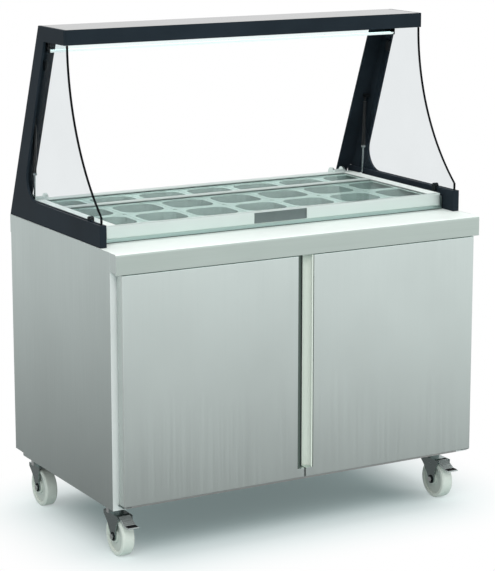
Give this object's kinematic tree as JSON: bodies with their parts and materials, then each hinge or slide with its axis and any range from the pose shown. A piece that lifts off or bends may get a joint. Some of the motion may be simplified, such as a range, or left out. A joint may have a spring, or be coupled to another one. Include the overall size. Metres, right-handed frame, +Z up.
{
  "type": "refrigerated salad bar",
  "caption": "Free-standing chilled salad bar: steel cabinet with swing doors, food pans under a lifting glazed lid, leaning black frame with side glass and lamp, on swivel casters.",
  "frame": {"origin": "on the floor under the middle of the overall box", "axes": "+Z up, doors and front ledge face -Y, X runs along the front"},
  "size_m": [1.3, 0.78, 1.59],
  "materials": {
    "black_frame": "satin black powder coat",
    "black_machine": "black enamel",
    "black_plastic": "moulded black",
    "black_rubber": "black rubber",
    "coil_aluminium": "bare fins",
    "grey_plastic": "moulded grey",
    "grip_profile": "pale grey extrusion",
    "lamp_diffuser": "opal white",
    "lid_glass": "clear sheet",
    "lid_metal": "pale satin metal",
    "liner_steel": "satin stainless liner",
    "pan_steel": "satin stainless",
    "side_glass": "clear toughened glass",
    "stainless": "brushed stainless sheet",
    "strut_black": "black enamel",
    "strut_rod": "ground steel",
    "white_nylon": "off-white nylon",
    "zinc_steel": "zinc-plated sheet"
  },
  "bodies": {
    "cabinet": {"cabinet_floor": "liner_steel", "caster_plates": "zinc_steel", "compressor": "black_machine", "condenser": "coil_aluminium", "door_hinges": "zinc_steel", "evaporator": "coil_aluminium", "frame_side_left": "black_frame", "frame_side_right": "black_frame", "front_frame": "liner_steel", "glass_clips": "black_plastic", "glass_left": "side_glass", "glass_right": "side_glass", "glass_trims": "black_rubber", "led_diffuser": "lamp_diffuser", "led_housing": "black_frame", "lid_hinge_brackets": "lid_metal", "machine_housing": "liner_steel", "mains_gland": "black_plastic", "pan_bars": "pan_steel", "pans_front_row": "pan_steel", "pans_middle_row": "pan_steel", "pans_rear_row": "pan_steel", "rear_grille": "stainless", "rear_wall": "stainless", "shelf_rails": "liner_steel", "side_wall_left": "stainless", "side_wall_right": "stainless", "strut_studs": "black_plastic", "top_beam": "black_frame", "upright_left": "black_frame", "upright_right": "black_frame", "well_collar": "stainless", "wire_shelves": "liner_steel", "worktop": "stainless"},
    "caster_front_left_fork": {"caster_front_left_fork": "zinc_steel"},
    "caster_front_left_pedal": {"caster_front_left_pedal": "zinc_steel"},
    "caster_front_left_wheel": {"caster_front_left_wheel": "white_nylon"},
    "caster_front_right_fork": {"caster_front_right_fork": "zinc_steel"},
    "caster_front_right_pedal": {"caster_front_right_pedal": "zinc_steel"},
    "caster_front_right_wheel": {"caster_front_right_wheel": "white_nylon"},
    "caster_rear_left_fork": {"caster_rear_left_fork": "zinc_steel"},
    "caster_rear_left_wheel": {"caster_rear_left_wheel": "white_nylon"},
    "caster_rear_right_fork": {"caster_rear_right_fork": "zinc_steel"},
    "caster_rear_right_wheel": {"caster_rear_right_wheel": "white_nylon"},
    "left_door": {"door_left_gasket": "black_rubber", "door_left_grip": "grip_profile", "door_left_panel": "stainless"},
    "right_door": {"door_right_gasket": "black_rubber", "door_right_grip": "grip_profile", "door_right_panel": "stainless"},
    "fan": {"fan_rotor": "black_machine"},
    "lid": {"lid_cross_bars": "lid_metal", "lid_front_bar": "lid_metal", "lid_handle": "grey_plastic", "lid_panes": "lid_glass", "lid_side_bars": "lid_metal"},
    "strut_left_cylinder": {"strut_left_cylinder": "strut_black"},
    "strut_left_rod": {"strut_left_rod": "strut_rod"},
    "strut_right_cylinder": {"strut_right_cylinder": "strut_black"},
    "strut_right_rod": {"strut_right_rod": "strut_rod"}
  },
  "joints": [
    {"name": "left_door_hinge", "type": "hinge", "parent": "cabinet", "child": "left_door", "pos_m": [-0.618, -0.373, 0.5435], "axis": [0, 0, -1], "range_deg": [0, 110]},
    {"name": "right_door_hinge", "type": "hinge", "parent": "cabinet", "child": "right_door", "pos_m": [0.618, -0.373, 0.5435], "axis": [0, 0, 1], "range_deg": [0, 110]},
    {"name": "lid_hinge", "type": "hinge", "parent": "cabinet", "child": "lid", "pos_m": [0, 0.33, 1.016], "axis": [-1, 0, 0], "range_deg": [0, 60]},
    {"name": "left_strut_pivot", "type": "hinge", "parent": "cabinet", "child": "strut_left_cylinder", "pos_m": [-0.618, 0.24403, 1.287], "axis": [1, 0, 0], "range_deg": [0, 10.7]},
    {"name": "left_strut_slide", "type": "slide", "parent": "strut_left_cylinder", "child": "strut_left_rod", "axis": [0, -0.0475, 0.9989], "range_m": [0, 0.0596]},
    {"name": "right_strut_pivot", "type": "hinge", "parent": "cabinet", "child": "strut_right_cylinder", "pos_m": [0.618, 0.24403, 1.287], "axis": [1, 0, 0], "range_deg": [0, 10.7]},
    {"name": "right_strut_slide", "type": "slide", "parent": "strut_right_cylinder", "child": "strut_right_rod", "axis": [0, -0.0475, 0.9989], "range_m": [0, 0.0596]},
    {"name": "front_left_swivel", "type": "hinge", "parent": "cabinet", "child": "caster_front_left_fork", "pos_m": [-0.588, -0.233, 0.1325], "axis": [0, 0, 1], "continuous": true},
    {"name": "front_left_wheel_spin", "type": "hinge", "parent": "caster_front_left_fork", "child": "caster_front_left_wheel", "pos_m": [-0.588, -0.269, 0.0625], "axis": [1, 0, 0], "continuous": true},
    {"name": "front_left_brake_pedal", "type": "hinge", "parent": "caster_front_left_fork", "child": "caster_front_left_pedal", "pos_m": [-0.588, -0.299, 0.127], "axis": [1, 0, 0], "range_deg": [0, 12]},
    {"name": "front_right_swivel", "type": "hinge", "parent": "cabinet", "child": "caster_front_right_fork", "pos_m": [0.588, -0.233, 0.1325], "axis": [0, 0, 1], "continuous": true},
    {"name": "front_right_wheel_spin", "type": "hinge", "parent": "caster_front_right_fork", "child": "caster_front_right_wheel", "pos_m": [0.588, -0.269, 0.0625], "axis": [1, 0, 0], "continuous": true},
    {"name": "front_right_brake_pedal", "type": "hinge", "parent": "caster_front_right_fork", "child": "caster_front_right_pedal", "pos_m": [0.588, -0.299, 0.127], "axis": [1, 0, 0], "range_deg": [0, 12]},
    {"name": "rear_left_swivel", "type": "hinge", "parent": "cabinet", "child": "caster_rear_left_fork", "pos_m": [-0.588, 0.331, 0.1325], "axis": [0, 0, 1], "continuous": true},
    {"name": "rear_left_wheel_spin", "type": "hinge", "parent": "caster_rear_left_fork", "child": "caster_rear_left_wheel", "pos_m": [-0.588, 0.295, 0.0625], "axis": [1, 0, 0], "continuous": true},
    {"name": "rear_right_swivel", "type": "hinge", "parent": "cabinet", "child": "caster_rear_right_fork", "pos_m": [0.588, 0.331, 0.1325], "axis": [0, 0, 1], "continuous": true},
    {"name": "rear_right_wheel_spin", "type": "hinge", "parent": "caster_rear_right_fork", "child": "caster_rear_right_wheel", "pos_m": [0.588, 0.295, 0.0625], "axis": [1, 0, 0], "continuous": true},
    {"name": "fan_spin", "type": "hinge", "parent": "cabinet", "child": "fan", "pos_m": [0.23, 0.26847, 0.261], "axis": [0, 1, 0], "continuous": true}
  ],
  "couplings": [
    {"joint": "left_strut_pivot", "follows": "lid_hinge", "ratio": 0.16932},
    {"joint": "left_strut_slide", "follows": "lid_hinge", "m_per_rad": 0.056474},
    {"joint": "right_strut_pivot", "follows": "lid_hinge", "ratio": 0.16932},
    {"joint": "right_strut_slide", "follows": "lid_hinge", "m_per_rad": 0.056474}
  ]
}
